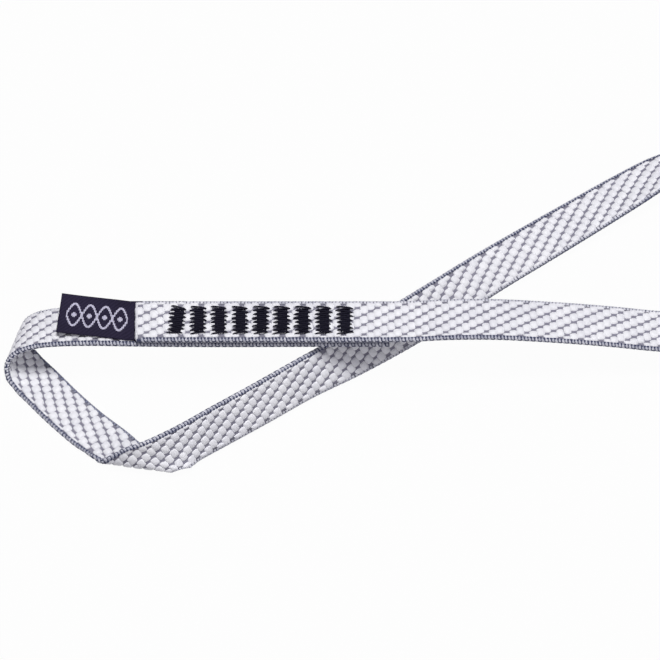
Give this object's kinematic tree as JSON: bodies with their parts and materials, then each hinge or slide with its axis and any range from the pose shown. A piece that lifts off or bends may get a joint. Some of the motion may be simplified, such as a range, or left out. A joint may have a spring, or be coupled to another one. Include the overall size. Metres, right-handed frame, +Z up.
{
  "type": "sewn sling",
  "caption": "Loop of flat woven polyethylene webbing, its two ends sewn over each other with bar tacks, laid down with a slanted fold and two crossings; a small woven label flaps at the seam.",
  "frame": {"origin": "on the ground plane, under the middle of the laid-down loop", "axes": "+Z up from the ground, +X along the sewn leg away from the label, +Y to the far side"},
  "size_m": [0.2392, 0.094, 0.0147],
  "materials": {
    "webbing": "coarse woven, white beads on grey, grey edges",
    "thread": "dense dark stitching with a slight sheen",
    "label": "fine dark weave with a pale woven pattern"
  },
  "bodies": {
    "sling": {"webbing": "webbing", "needle_thread_1": "thread", "needle_thread_2": "thread", "needle_thread_3": "thread", "needle_thread_4": "thread", "needle_thread_5": "thread", "needle_thread_6": "thread", "needle_thread_7": "thread", "needle_thread_8": "thread", "needle_thread_9": "thread", "bobbin_thread_1": "thread", "bobbin_thread_2": "thread", "bobbin_thread_3": "thread", "bobbin_thread_4": "thread", "bobbin_thread_5": "thread", "bobbin_thread_6": "thread", "bobbin_thread_7": "thread", "bobbin_thread_8": "thread", "bobbin_thread_9": "thread", "label_tail": "label"},
    "label": {"label_flag": "label"}
  },
  "joints": [
    {"name": "label_flap", "type": "hinge", "parent": "sling", "child": "label", "pos_m": [-0.09015, -0.0085, 0.0121], "axis": [0, 1, 0], "range_deg": [0, 130]}
  ]
}
